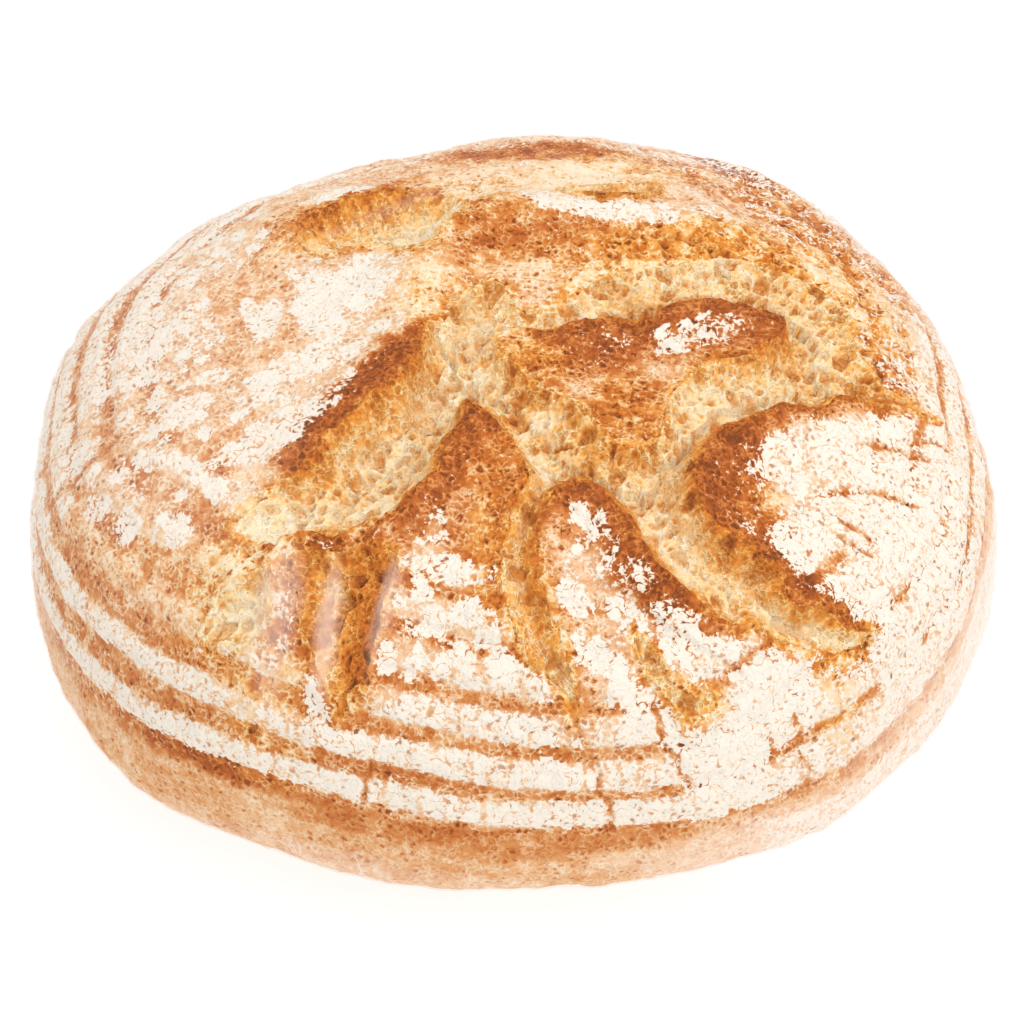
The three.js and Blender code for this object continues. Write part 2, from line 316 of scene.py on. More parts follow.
# Where the crust tore a little and shows golden threads: the same six values as for SCORCH.
TORN = [
    [50, 30, 34, 8, 8, 0.9], [88, 20, 26, 10, -60, 0.8], [10, 22, 24, 9, 10, 0.4], [24, 66, 26, 9, 0, 0.6],
    [-6, 58, 18, 8, 20, 0.5], [28, -36, 12, 9, 90, 0.6], [4, -18, 11, 9, 0, 0.8], [-20, 4, 10, 10, 0, 0.8],
    [-4, -54, 9, 8, 90, 0.4], [-4, -74, 18, 4, 88, 0.6], [80, 48, 30, 12, -50, 0.35],
    [-60, -72, 16, 8, 20, 0.8], [-56, -88, 16, 10, 90, 0.7], [-88, -62, 14, 4, -30, 0.3],
    [58, -84, 14, 3, 10, 0.3], [-22, 36, 18, 9, 70, 0.8], [0, 46, 20, 12, 30, 0.4],
    [-52, 40, 14, 8, 50, 0.5], [56, -60, 10, 8, 80, 0.4], [77, -89, 7, 5, -50, 0.8],
]
EDGE_TORN = 1.8  # the same beside a tear's edge, out to this distance
SOFT_TORN = 5.0  # and this much further where the edge has no lip, but not in front of SOFT_FRONT
SOFT_LIP = 0.12
SOFT_FRONT = -70.0

WEB = [[3.6, 0.45, 0.8, 0.3, 41], [2.0, 0.5, 0.5, 0.25, 42]]  # its pores, as for webbed()
THREAD_HALF = 0.3  # half a thread's width
PORE_SLOPE = 0.5  # how wide the slope is from a thread to the floor of a pore

# Folds of the crust behind and on the right, each a line of [x, y, height].
FOLDS = [
    [[56, 88, 1.4], [69, 75, 2.0], [80, 62, 0.8]], [[61, 57, 0.6], [77, 50, 1.6], [88, 44, 0.6]],
    [[50, 66, 0.5], [62, 66, 1.4], [74, 58, 0.6]], [[60, 46, 0.6], [70, 44, 1.4], [84, 36, 0.6]],
    [[45, 56, 0.8], [54, 40, 1.2], [60, 38, 0.5]], [[74, 28, 0.4], [85, 25, 1.3], [96, 24, 0.6]],
    [[71, 37, 0.6], [80, 26, 1.2], [90, 12, 0.8]], [[36, 70, 0.5], [48, 72, 1.5], [58, 70, 0.7]],
    [[30, 82, 0.4], [44, 84, 1.4], [52, 82, 0.8]], [[-8, 66, 0.3], [6, 70, 1.0], [20, 66, 0.6]],
    [[92, 30, 0.5], [101, 20, 1.3], [106, 4, 0.7]],
]
FOLD_WIDTH = 2.6
# Where the crust is drawn into small wrinkles that run round the loaf: the same six values as for SCORCH.
FOLDED = [
    [76, 60, 36, 20, -50, 1], [40, 86, 28, 9, -8, 0.9], [98, 20, 22, 9, -70, 0.8], [64, 32, 20, 6, -10, 0.5],
]
WRINKLE_RISE = 1.3
WRINKLE_SIZE = 4.2
WRINKLE_BORDER = 1.1  # half a wrinkle's width
WRINKLE_ROUND = 55.0  # mm to a radian, half of what it is, so that wrinkles are twice as long round the loaf

# Creases across the right flap and cracks down the front, which cut through the flour. Both are lines of
# [x, y, depth], where a crack's x is MM_TO_A_DEGREE times its azimuth and its y is the way s.
CREASES = [
    [[83, -35, 0.4], [92, -33, 1.1], [102, -32, 0.6]], [[80, -51, 0.5], [90, -47, 1.0], [100, -45, 0.5]],
    [[77, -58, 0.9], [85, -60, 0.9]], [[78, -63, 0.8], [85, -64, 0.8]], [[95, -30, 0.4], [109, -22, 0.8]],
]
CRACKS = [
    [[-164, 117, 0.5], [-166, 127, 0.8], [-163, 135, 0.3], [-160, 147, 0.7], [-157, 160, 0.7]],
    [[-211, 140, 0.8], [-212, 152, 0.9]], [[-122, 137, 0.5], [-121, 149, 0.7]],
    [[-115, 136, 0.6], [-113, 159, 0.8]], [[-326, 103, 1.0], [-324, 116, 1.2], [-328, 130, 0.8]],
    [[-148, 126, 0.7], [-144, 139, 0.8], [-140, 150, 0.5]],
]
MM_TO_A_DEGREE = 2.0
CRACK_WIDTH = 0.5
CUT_DEPTH = 1.2  # of either, at a depth of 1
ROUGH = [[0.4, 7, 1], [0.3, 3, 2], [0.15, 1.6, 3]]  # the crust's unevenness: mm, size, seed
UNDER_CRUMB = [[1.0, 0.6], [2.2, 2.5]]  # how far the skin dips under the crumb, and within what of the edge

# Where flour lies thickest apart from the rings: the same six values as for SCORCH.
FLOUR = [
    # the left flap
    [-48, 6, 15, 7, 98, 1], [-38, 12, 12, 7, 95, 1], [-33, 12, 9, 5, 90, 0.75], [-32, 20, 8, 6, 100, 0.6],
    [-42, -4, 12, 10, 80, 0.6], [-61, 2, 9, 4, 86, 1], [-66, 8, 5, 2.5, 97, 0.9], [-52, -17, 11, 7, 19, 0.85],
    [-44, -10, 11, 6, 60, 0.6], [-60, -24, 7, 4, 104, 1], [-54, -38, 14, 7, 30, 0.85],
    [-63, -43, 8, 5, 8, 0.85], [-46, -24, 22, 9, 60, 0.5], [-70, -28, 14, 8, 40, 0.42],
    [-30, 2, 14, 6, 85, 0.45], [-48, 20, 12, 6, 0, 0.45],
    # rows and spots to its left
    [-73, -16, 5, 3.5, 0, 0.9], [-80, -28, 8, 3.5, -31, 0.9], [-80, -42, 12, 3, -31, 0.9],
    [-65, -55, 9, 3.5, -26, 0.85], [-91, 4, 19, 4, 88, 0.85], [-83, 12, 14, 7, 91, 0.65],
    [-77, 1, 8, 6, 114, 0.65], [-70, 34, 12, 6, 55, 0.6], [-45, 54, 10, 5, 37, 0.95],
    [-104, -1, 18, 3, 86, 0.7], [-114, -13, 13, 3, 92, 0.75], [-108, -27, 9, 3, 102, 0.7],
    [-92, -54, 5, 3, 111, 1], [-100, -45, 6, 3, 134, 0.8], [-79, -62, 4, 2.5, 143, 0.9],
    [-88, -50, 20, 9, 130, 0.45], [-84, -12, 30, 14, 90, 0.4], [-78, 38, 22, 12, 60, 0.5],
    [-54, -84, 11, 5, 85, 0.55], [-70, -87, 4, 2, -22, 0.6], [-56, -94, 3, 1.5, -14, 0.8],
    [-48, -73, 8, 2.5, 1, 0.7], [-44, -101, 5, 3, -12, 1],
    # the front peaks
    [-10, -90, 4, 3.5, 0, 1], [-21, -89, 6, 5, -10, 0.6], [-19, -76, 10, 5, 80, 0.5], [-22, -99, 4, 2, 0, 1],
    [-15, -99, 2.6, 2.6, 0, 1], [-10, -100, 2.5, 2.5, 0, 1], [-3, -100, 4, 3, 0, 1],
    [-29, -97, 3.5, 2, -7, 0.95], [-16, -94, 16, 8, 0, 0.45], [15, -68, 2.6, 2.4, 0, 1],
    [18, -78, 12, 6, 62, 0.5], [14, -87, 4.5, 4, 115, 1], [15, -96, 2.5, 2.5, 0, 1],
    [21, -99, 5, 3.5, -7, 1], [27, -93, 6, 5, -60, 0.6], [22, -88, 7, 5, -60, 0.45],
    [37, -95, 5, 3, -20, 0.95], [43, -95, 7, 4, 14, 0.7], [28, -103, 8, 4, 0, 0.8], [42, -108, 9, 3, 0, 1],
    [61, -97, 12, 5, 20, 1], [52, -106, 12, 5, 15, 1], [36, -92, 8, 4, 0, 0.6],
    # the right flap, the ridge and the crest
    [58, -50, 16, 9, 75, 0.32], [66, -46, 10, 8, 61, 0.75], [72, -57, 10, 7, 43, 0.8],
    [84, -36, 18, 8, 26, 0.85], [92, -47, 13, 10, 40, 0.85], [92, -55, 10, 8, 50, 1],
    [86, -66, 10, 6, 50, 0.8], [86, -75, 8, 5, 38, 1], [93, -77, 10, 4, 43, 0.9], [102, -57, 13, 8, 69, 0.9],
    [106, -32, 14, 7, 68, 0.9], [98, -8, 14, 7, 80, 0.6], [46, -8, 13, 5, 21, 0.65],
    [18, -9, 20, 9, 12, 0.26], [30, -8, 10, 5, 10, 0.32],
    [22, 40, 17, 4.5, -10, 1], [8, 45, 8, 3.5, -25, 1], [46, 38, 14, 5, 4, 0.6], [66, 66, 25, 10, -62, 0.28],
    [96, 38, 20, 6, -55, 0.38], [40, 84, 24, 7, -10, 0.25],
]

# The basket's rings: [azimuth in degrees, way s of the lowest ring, pitch, share of it that is bare].
RINGS = [
    [-180, 144, 12.5, 0.35], [-160, 144, 12.5, 0.4], [-150, 145, 15, 0.55], [-138, 142, 15, 0.55],
    [-125, 140, 14, 0.5], [-110, 142, 12.5, 0.45], [-92, 146, 12, 0.35], [-76, 149, 12, 0.28],
    [-65, 147.5, 12.5, 0.28], [-57, 145.5, 15, 0.25], [-50, 143, 17.5, 0.22], [-42, 141.5, 17, 0.22],
    [-36, 140.5, 15, 0.22], [-30, 138, 13, 0.25], [-25, 135, 12, 0.25], [-18, 130, 11.5, 0.25],
    [0, 128, 11.5, 0.25], [90, 145, 12, 0.3], [180, 144, 12.5, 0.35],
]
# Where the rings took little flour: the same six values as for SCORCH. In front the two lowest rings kept
# theirs.
RING_BARE = [
    [-88, -62, 32, 16, 140, 1], [-45, -98, 22, 10, 10, 0.8], [-14, -92, 18, 9, 0, 0.7],
    [15, -84, 26, 12, 90, 0.7], [0, 20, 60, 60, 0, 1], [-90, -25, 22, 20, 0, 0.5],
    [70, 60, 48, 30, -50, 0.85], [0, 90, 60, 16, 0, 0.6],
]
RINGS_FROM = 88.0  # the way s at which the rings begin, and their flour
FLOUR_FROM = 84.0
GROOVE = 0.8  # depth of a bare line between two coils
BAND_END = 1.02  # where the lowest band of flour ends, in rings
TILE = 4.2  # mm between the gaps that break a ring's flour
CLUMP = 6.5  # mm between clumps of flour
BASE_GAP = 0.6  # between the crust and the floor, where the film's seal is

CRUST_STEP = 1.04  # mm between rings of points
CRUST_DISC = 108  # rings with six points more each
CRUST_DOME = 150  # rings at CRUST_STEP
FOOT_STEPS = 36  # rings below them
CRUST_FRONT = -np.pi / 2
CRUST_BIAS = 0.35  # how much closer the points stand in front
SNAP = 0.55  # points as near as this to a tear's edge are put on it
SLOPE_STEP = 0.05  # how far apart the distances are taken for its slope
OFF_TOP = 60.0  # stands for the distance from an edge all over the side
STREWN = 64  # squares along a side of a patch of strewn points


def dabs(table, x, y, softness):
    """The highest of the table's dabs at a point: ellipses, each fading over `softness` of its size."""
    level = np.zeros(x.shape)
    for at_x, at_y, length, width, turn, amount in table:
        c, s = np.cos(np.radians(turn)), np.sin(np.radians(turn))
        u, v = ((x - at_x) * c + (y - at_y) * s) / length, ((y - at_y) * c - (x - at_x) * s) / width
        level = np.maximum(level, amount * smooth((1 + softness - np.hypot(u, v)) / (2 * softness)))
    return level


def side_dab(dab, degrees, s, reach, fade):
    """A dab on the side: its amount times smooth((reach - distance in half sizes) / fade)."""
    at, at_s, wide, high, amount = dab
    return amount * smooth((reach - np.hypot((degrees - at) / wide, (s - at_s) / high)) / fade)


def traced(lines, x, y, width):
    """The highest of some lines of [x, y, height] at a point, each falling by exp(-(distance / width)^2)."""
    level = np.zeros(x.shape)
    for line in lines:
        away, height, _ = nearest_on(line, x, y)
        level = np.maximum(level, height * np.exp(-((away / width) ** 2)))
    return level


def cells(across, along, size, seed):
    """Points strewn one to a square: the distances to the nearest and the next, and the first's number."""
    strewn = np.random.default_rng(seed).random((STREWN, STREWN, 3))
    u, v = across / size, along / size
    i, j = np.floor(u).astype(int), np.floor(v).astype(int)
    first, second, own = np.full(u.shape, np.inf), np.full(u.shape, np.inf), np.zeros(u.shape)
    for di in (-1, 0, 1):
        for dj in (-1, 0, 1):
            a, b, number = np.moveaxis(strewn[(i + di) % STREWN, (j + dj) % STREWN], -1, 0)
            away = np.hypot(i + di + a - u, j + dj + b - v)
            closer = away < first
            second = np.where(closer, first, np.minimum(second, away))
            own = np.where(closer, number, own)
            first = np.minimum(first, away)
    return first, second, own


def webbed(across, along, sizes):
    """Torn dough: how far a point is in a pore, how near a thread between pores, both 0 to 1, and the height.

    Sizes are rows of [mm, share of the cells that are pores, depth, height of the threads, seed], the largest
    first. A size has pores only where no larger one is open, and they are deepest in the middle."""
    pore, thread, height = (np.zeros(across.shape) for _ in range(3))
    for size, share, depth, rise, seed in sizes:
        first, second, own = cells(across, along, size, seed)
        from_border = (second - first) * size / 2
        opened = smooth((from_border - THREAD_HALF) / PORE_SLOPE) * (own < share) * (1 - pore)
        between = (1 - smooth(from_border / (1.6 * THREAD_HALF))) * (1 - pore)
        height = height - depth * opened * (0.6 + 0.4 * smooth((0.7 - first) / 0.5)) + rise * between
        pore, thread = np.maximum(pore, opened), np.maximum(thread, between)
    return pore, thread, height


def edge_bake(edge, lip):
    """How far the dough is baked beside a tear's edge: dark where it curls up, and paler down in the tear."""
    wide = (0.2 + 0.14 * lip) * np.exp(-np.abs(edge) / (6 + 2 * lip))
    return EDGE_BAKED + wide + 0.34 * lip * np.exp(-((edge / 2.6) ** 2))


def pale_at(x, y):
    """How much paler than the rest the dough is at a plan point."""
    spot = plan(x, y)
    return dabs(PALE, x + 2 * noise(spot, 6, 28), y + 2 * noise(spot, 6, 29), 0.7)


def pairs(rows, across):
    """Every pair of a number below `rows` and one below `across`, as two lists."""
    return (grid.ravel() for grid in np.meshgrid(np.arange(rows), np.arange(across), indexing="ij"))


def put_mesh(name, points, faces, attributes):
    """An object with points in millimetres, faces as rows of point numbers, and attributes of the points."""
    mesh = bpy.data.meshes.new(name)
    corners = np.asarray(faces, np.int32)
    mesh.vertices.add(len(points))
    mesh.vertices.foreach_set("co", ((points - CENTRE) * MM).astype(np.float32).ravel())
    mesh.loops.add(corners.size)
    mesh.loops.foreach_set("vertex_index", corners.ravel())
    mesh.polygons.add(len(corners))
    mesh.polygons.foreach_set("loop_start", np.arange(0, corners.size, corners.shape[1], dtype=np.int32))
    mesh.update(calc_edges=True)
    mesh.validate()
    mesh.shade_smooth()
    for key, values in attributes.items():
        mesh.attributes.new(key, "FLOAT", "POINT").data.foreach_set("value", values.astype(np.float32))
    made = bpy.data.objects.new(name, mesh)
    bpy.context.scene.collection.objects.link(made)
    return made


def columns(ring):
    """How many points a ring of the crust has."""
    return 6 * np.minimum(ring, CRUST_DISC)


def disc_layout(rows):
    """For each point of the crust its ring number and azimuth, the faces, and where each ring's points start.

    Six wedges out to CRUST_DISC, then straight columns."""
    counts = np.maximum([columns(i) for i in range(rows + 1)], 1)
    starts = np.concatenate([[0], np.cumsum(counts)[:-1]])
    ring = np.repeat(np.arange(rows + 1), counts)
    turn = (np.arange(len(ring)) - starts[ring]) / counts[ring] * 2 * np.pi
    faces = []
    for i in range(1, rows + 1):
        sides = 6 if i <= CRUST_DISC else 1
        outer, inner = columns(i) // sides, columns(i - 1) // sides
        k, j = pairs(sides, outer)
        near = starts[i - 1] + (k * inner + j) % counts[i - 1]
        near_next = starts[i - 1] + (k * inner + j + 1) % counts[i - 1]
        far, far_next = starts[i] + k * outer + j, starts[i] + (k * outer + j + 1) % counts[i]
        faces.append(np.stack([near, far, far_next], -1))
        faces.append(np.stack([near, far_next, near_next], -1)[j < inner])
    azimuth = turn - CRUST_BIAS * np.sin(turn - CRUST_FRONT)
    return ring, (azimuth + np.pi) % (2 * np.pi) - np.pi, np.concatenate(faces), starts


def ring_phase(s, azimuth):
    """Rings counted along s from the lowest, whole numbers at the bare lines, and the share that is bare."""
    table = np.array(RINGS, float)
    lowest, pitch, bare = (np.interp(np.degrees(azimuth), table[:, 0], table[:, i]) for i in (1, 2, 3))
    return (s - lowest) / pitch, bare


def groove_depth(s, azimuth):
    """Depth of the basket's rings: each bare line is a groove, from RINGS_FROM down to the lowest ring."""
    phase, bare = ring_phase(s, azimuth)
    off = np.abs(phase - np.round(phase))
    rings = smooth((s - RINGS_FROM) / 10) * smooth((1.4 - phase) / 0.3)
    return GROOVE * rings * smooth((bare / 2 + 0.12 - off) / 0.12)


def wrinkle(s, azimuth):
    """Height, 0 to 1, of wrinkles: the borders of cells that are twice as long round the loaf as across."""
    first, second, _ = cells(azimuth * WRINKLE_ROUND, s, WRINKLE_SIZE, 26)
    return 1 - smooth((second - first) * WRINKLE_SIZE / 2 / WRINKLE_BORDER)


ring, azimuth, crust_faces, ring_starts = disc_layout(CRUST_DOME + FOOT_STEPS)
down_foot = np.maximum(ring - CRUST_DOME, 0) / FOOT_STEPS
s = np.minimum(ring, CRUST_DOME) * CRUST_STEP + down_foot * (SURFACE_END - CRUST_DOME * CRUST_STEP)
x, y, z, up = plain_loaf(s, azimuth)
on_top = z > WIDEST_AT
edge, lip, _ = crust_edge(x, y)

# Points beside an edge are moved onto it, down the slope of the distance.
near = on_top & (np.abs(edge) < SNAP)
ahead, aside = crust_edge(x[near] + SLOPE_STEP, y[near])[0], crust_edge(x[near], y[near] + SLOPE_STEP)[0]
slope = np.stack([ahead, aside], -1) - edge[near][:, None]
slope = slope / (np.linalg.norm(slope, axis=1)[:, None] + 1e-9) * edge[near][:, None]
x[near], y[near] = x[near] - slope[:, 0], y[near] - slope[:, 1]
edge[near] = 0.0
edge[~on_top] = OFF_TOP

spot = np.stack([x, y, z], -1)
blotch, bloom = noise(spot, 14, 21), noise(spot, 4, 22)
bent_x, bent_y = x + 1.2 * noise(spot, 5, 31), y + 1.2 * noise(spot, 5, 32)
torn = dabs(TORN, x + 3 * blotch, y + 3 * bloom, 0.7) * on_top
torn_reach = EDGE_TORN + SOFT_TORN * smooth((SOFT_LIP - lip) / 0.1) * on_top * (y > SOFT_FRONT)
torn = np.maximum(torn, (1 - 0.6 * lip) * np.exp(-((edge / torn_reach) ** 2)))
pore, thread, web = (values * torn for values in webbed(bent_x, bent_y, WEB))
folds = traced(FOLDS, x + 1.5 * bloom, y + 1.5 * blotch, FOLD_WIDTH) * on_top
folded = dabs(FOLDED, x + 3 * blotch, y + 2 * bloom, 0.5) * on_top
folds = np.maximum(folds, WRINKLE_RISE * folded * wrinkle(s + 1.5 * bloom, azimuth + 0.02 * blotch))
creases = traced(CREASES, x + 0.8 * bloom, y + 0.8 * noise(spot, 4, 23), CRACK_WIDTH) * on_top
degrees = np.degrees(azimuth) * MM_TO_A_DEGREE
cracks = traced(CRACKS, degrees + 1.0 * noise(spot, 3, 24), s, CRACK_WIDTH)
cut = np.maximum(creases, cracks)

# How far out the skin lies from the plain loaf: twice as rough beside a tear, and smooth towards the base.
out = np.where(on_top, relief(x, y, edge, lip), 0.0) + swell(x, y, z) + folds - UNDER_FILM
out = out + noises(spot, ROUGH) * smooth(z / 12) * (1 + np.exp(-((edge / 4) ** 2)))
out = out + web - CUT_DEPTH * cut
out = out - groove_depth(s, azimuth) * smooth(edge / 5) * smooth(z / SWELL_FADE)
for depth, within in UNDER_CRUMB:
    out = out - depth * smooth(-edge / within)
crust_points = moved(x, y, z, up, azimuth, out)
crust_points[:, 2] = np.maximum(crust_points[:, 2], BASE_GAP)
s_of_ring, azimuth_of_crust, out_of_crust = s[ring_starts], azimuth, out  # for the film, which lies on it

# How dark the crust is baked: darker on bare lines, on lips, in cuts, and where it is scorched. In the pores
# it is darker too, which is painted shade.
phase, bare = ring_phase(s + 0.9 * bloom, azimuth)
off = np.abs(phase - np.round(phase))
band = smooth((off - bare / 2 + 0.10) / 0.16)
ringed = smooth((s - FLOUR_FROM + 6 * blotch) / 10) * smooth((1.3 - phase) / 0.12)
darkness = BAKED + 0.07 * blotch + 0.06 * bloom + 0.2 * ringed * (1 - band)
darkness = darkness + (0.25 + 0.2 * bloom) * lip * np.exp(-((edge / 5) ** 2))
soft_edge = (1 - smooth(lip / 0.6)) * np.exp(-((edge / 6) ** 2))
darkness = darkness + (edge_bake(edge, lip) - BAKED) * np.maximum(soft_edge, lip * np.exp(-((edge / 3) ** 2)))
scorched = dabs(SCORCH, x + 2 * bloom, y + 2 * blotch, 0.6)
darkness = darkness + (scorched * (1.1 + 0.35 * bloom) - pale_at(x, y)) * on_top
for dab in SIDE_SCORCH:
    darkness = darkness + side_dab(dab, np.degrees(azimuth) + 1.5 * blotch, s + 1.5 * bloom, 1.4, 0.9)
darkness = darkness + 0.25 * cut + 0.12 * pore - 0.1 * folds + 0.24 * folded * (1 - smooth(folds / 0.8))
past = BAKED_SPAN * np.tanh((darkness - BAKED_MOST) / BAKED_SPAN)
darkness = np.where(darkness > BAKED_MOST, BAKED_MOST + past, darkness)

# How much flour there is: over about a half it covers the crust, and less lies in specks. Below the lowest
# band the foot is bare in front and dusted on the right.
ringed = ringed * smooth((BAND_END - phase) / 0.12)
kept_below = -0.6 + 1.2 * smooth(azimuth / 0.2) * smooth((2.6 - azimuth) / 0.2)
poor = dabs(RING_BARE, x, y, 0.3) * on_top * smooth((kept_below - phase) / 0.3)
gap = np.abs((degrees / TILE + 0.35 * bloom + np.floor(phase) * 0.37) % 1 - 0.5) * TILE
tiled = 1 - 0.45 * smooth((0.9 - gap) / 0.6) * smooth(noise(spot, 9, 25) + 0.6)
flour = ringed * band * (1 - poor) * (0.9 + 0.1 * blotch) * tiled
flour = np.maximum(flour, 0.12 * ringed * (1 - 0.3 * poor))
flour = np.maximum(flour, dabs(FLOUR, x + 1.4 * bloom, y + 1.4 * noise(spot, 4, 23), 0.3) * on_top)
first, _, own = cells(x + 1.5 * bloom, y + 1.5 * noise(spot, 4, 30), CLUMP, 27)
clump = smooth((0.55 - 0.3 * own - first) * CLUMP / 0.8)  # rounded clumps, where the flour is not thin
flour = np.maximum(flour - 0.06, 0.9 * clump * smooth((flour - 0.2) / 0.2) * on_top)
flour = np.maximum(flour, 0.14 + 0.5 * smooth(folds / 1.2))
flour = flour * smooth((edge + 0.7 - 2 * lip) / (1.6 + 2.4 * lip)) * (1 - 0.5 * torn)
dusted = smooth((azimuth + 1.18) / 0.15) * smooth((1.2 - azimuth) / 0.4) * smooth((phase - 1.28) / 0.15)
flour = np.where(phase > BAND_END, 0.85 * dusted - 0.1, flour - 0.9 * cut)
torn = np.where(phase > BAND_END, 0.0, torn * (1 - smooth(1.5 * cut)))

middle = len(crust_points)
crust_points = np.concatenate([crust_points, [[0.0, 0.0, BASE_GAP]]])
rim = ring_starts[-1] + np.arange(columns(CRUST_DISC))
base = np.stack([np.full(len(rim), middle), np.roll(rim, -1), rim], -1)
crust = put_mesh(
    "crust",
    crust_points,
    np.concatenate([crust_faces, base]),
    {"darkness": np.append(darkness, 0.4), "flour": np.append(flour, 0.1), "torn": np.append(torn, 0.4),
     "pore": np.append(pore, 0.0), "thread": np.append(thread, 0.0)},
)
print("crust", len(crust.data.polygons), "faces")


def add(tree, kind, settings=None, **inputs):
    """A new node with its settings, and its inputs set to a number or linked to another node's output."""
    node = tree.nodes.new("ShaderNode" + kind)
    for key, value in (settings or {}).items():
        setattr(node, key, value)
    for key, value in inputs.items():
        by_number = key[0] == "_" and key[1:].isdigit()
        socket = node.inputs[int(key[1:]) if by_number else key.replace("_", " ")]
        if isinstance(value, bpy.types.NodeSocket):
            tree.links.new(value, socket)
        else:
            socket.default_value = value
    return node


def maths(tree, operation, *values):
    """The output of a Math node."""
    inputs = {f"_{i}": value for i, value in enumerate(values)}
    return add(tree, "Math", {"operation": operation}, **inputs).outputs[0]


def step(tree, value, start, end):
    """0 below start, 1 past end, and smooth between them."""
    settings = {"interpolation_type": "SMOOTHSTEP"}
    return add(tree, "MapRange", settings, Value=value, _1=start, _2=end).outputs[0]


def times(tree, first, second):
    """first * second."""
    return maths(tree, "MULTIPLY", first, second)


def more(tree, value, share, base):
    """base + share * value."""
    return maths(tree, "MULTIPLY_ADD", value, share, base)


def centred(tree, value):
    """A noise about nought."""
    return maths(tree, "SUBTRACT", value, 0.5)


def blend(tree, share, first, second):
    """Two colours mixed."""
    return add(tree, "Mix", {"data_type": "RGBA"}, _0=share, _6=first, _7=second).outputs[2]


def colours(tree, level, stops):
    """A colour for a level, from [level, screen colour] stops."""
    ramp = add(tree, "ValToRGB", Fac=level)
    while len(ramp.color_ramp.elements) < len(stops):
        ramp.color_ramp.elements.new(0.5)
    for element, (at, colour) in zip(ramp.color_ramp.elements, stops):
        element.position = at
        element.color = rgb(*colour)
    return ramp.outputs["Color"]


def group(name, inputs, outputs):
    """A new node group with named inputs and outputs, each with its kind of socket."""
    made = bpy.data.node_groups.new(name, "ShaderNodeTree")
    for direction, sockets in (("INPUT", inputs), ("OUTPUT", outputs)):
        for socket, kind in sockets.items():
            made.interface.new_socket(socket, in_out=direction, socket_type="NodeSocket" + kind)
    return made, made.nodes.new("NodeGroupInput"), made.nodes.new("NodeGroupOutput")


def place(tree, made, **inputs):
    """A node group placed in a material, with its inputs."""
    node = tree.nodes.new("ShaderNodeGroup")
    node.node_tree = made
    for key, value in inputs.items():
        if isinstance(value, bpy.types.NodeSocket):
            tree.links.new(value, node.inputs[key])
        else:
            node.inputs[key].default_value = value
    return node


def rgb(red, green, blue):
    """A colour from its screen values 0 to 255."""
    c = np.array([red, green, blue]) / 255
    return (*np.where(c <= 0.04045, c / 12.92, ((c + 0.055) / 1.055) ** 2.4), 1.0)


def finish(name):
    """A new material, its tree, its shader, and its Object coordinates."""
    made = bpy.data.materials.new(name)
    made.use_nodes = True
    tree = made.node_tree
    return made, tree, tree.nodes["Principled BSDF"], add(tree, "TexCoord").outputs["Object"]


def attribute(tree, name):
    """The value of a mesh's attribute."""
    return add(tree, "Attribute", {"attribute_name": name}).outputs["Fac"]


# The skin of dough at the size of a grain: soft bumps, and a net of fine curled threads round cells. About
# half of the cells are pits, which are open as far as Open, from the middle at 0.5 to the threads at 0.
dough_skin, take, give = group(
    "dough_skin",
    {"Vector": "Vector", "Size": "Float", "Open": "Float"},
    {"Bumps": "Float", "Threads": "Float", "Pits": "Float"},
)
vector, size = take.outputs["Vector"], take.outputs["Size"]
to_size = maths(dough_skin, "DIVIDE", 1.0, size)
grain = add(dough_skin, "TexNoise", Vector=vector, Scale=to_size, Detail=2.0)
bumps = grain.outputs["Fac"]
bent = times(dough_skin, size, 1.6)
bent = add(
    dough_skin, "VectorMath", {"operation": "MULTIPLY_ADD"}, _0=grain.outputs["Color"], _1=bent, _2=vector
).outputs["Vector"]
coarser = times(dough_skin, to_size, 0.6)
to_edge = {"feature": "DISTANCE_TO_EDGE"}
border = add(dough_skin, "TexVoronoi", to_edge, Vector=bent, Scale=coarser).outputs["Distance"]
own = add(dough_skin, "TexVoronoi", Vector=bent, Scale=coarser).outputs["Color"]
broken = add(dough_skin, "TexNoise", Vector=vector, Scale=times(dough_skin, to_size, 0.35)).outputs["Fac"]
threads = times(dough_skin, step(dough_skin, border, 0.18, 0.05), step(dough_skin, broken, 0.4, 0.52))
wall = maths(dough_skin, "ADD", take.outputs["Open"], 0.1)
pits = step(dough_skin, border, take.outputs["Open"], wall)
pits = times(dough_skin, pits, step(dough_skin, own, 0.5, 0.6))
for name, value in (("Bumps", bumps), ("Threads", threads), ("Pits", pits)):
    dough_skin.links.new(value, give.inputs[name])

# Baked dough: colours for how far it is baked, of whole crust, of torn threads and of the floors of pores.
# The floors' tones are darker than the threads': painted shade in the pores.
CRUST_TONES = [
    (0.0, (248, 222, 190)), (0.2, (238, 192, 146)), (0.4, (219, 148, 86)), (0.6, (196, 108, 46)),
    (0.8, (166, 82, 28)), (1.0, (122, 60, 18)),
]
THREAD_TONES = [
    (0.0, (254, 240, 210)), (0.2, (253, 222, 164)), (0.4, (242, 174, 82)), (0.6, (222, 132, 40)),
    (0.8, (194, 100, 24)), (1.0, (134, 68, 14)),
]
PORE_SHADE_TONES = [
    (0.0, (242, 216, 176)), (0.2, (238, 196, 140)), (0.4, (212, 142, 64)), (0.6, (178, 98, 30)),
    (0.8, (132, 66, 18)), (1.0, (88, 44, 12)),
]
baked_dough, take, give = group(
    "baked_dough", {"Level": "Float", "Torn": "Float", "Pore": "Float"}, {"Color": "Color"}
)
tones = (CRUST_TONES, THREAD_TONES, PORE_SHADE_TONES)
whole, threads, shaded_floors = (colours(baked_dough, take.outputs["Level"], stops) for stops in tones)
opened = blend(baked_dough, take.outputs["Pore"], threads, shaded_floors)
baked_dough.links.new(blend(baked_dough, take.outputs["Torn"], whole, opened), give.inputs["Color"])

